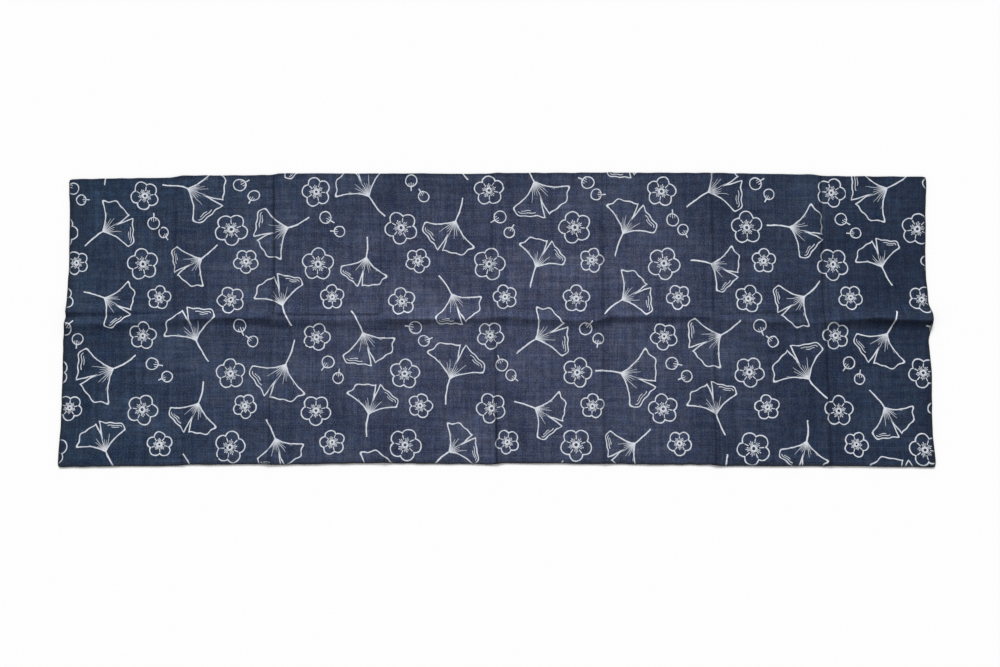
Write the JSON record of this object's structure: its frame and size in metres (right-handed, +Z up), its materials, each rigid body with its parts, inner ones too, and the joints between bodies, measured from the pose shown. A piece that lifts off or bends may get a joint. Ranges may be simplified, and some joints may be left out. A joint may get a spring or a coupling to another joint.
{
  "type": "tenugui towel",
  "caption": "Long narrow hand towel of thin indigo-dyed cotton with white line motifs, spread out flat with its fold creases standing.",
  "frame": {"origin": "on the surface that the cloth lies on, under the middle of its outline", "axes": "+X along the length, +Y across the width towards the far long edge, +Z up"},
  "size_m": [1.004, 0.342, 0.0065],
  "materials": {
    "dyed_cotton": "plain-woven cotton, dyed indigo with undyed white line motifs, matt"
  },
  "bodies": {
    "root": {"towel": "dyed_cotton"}
  },
  "joints": []
}
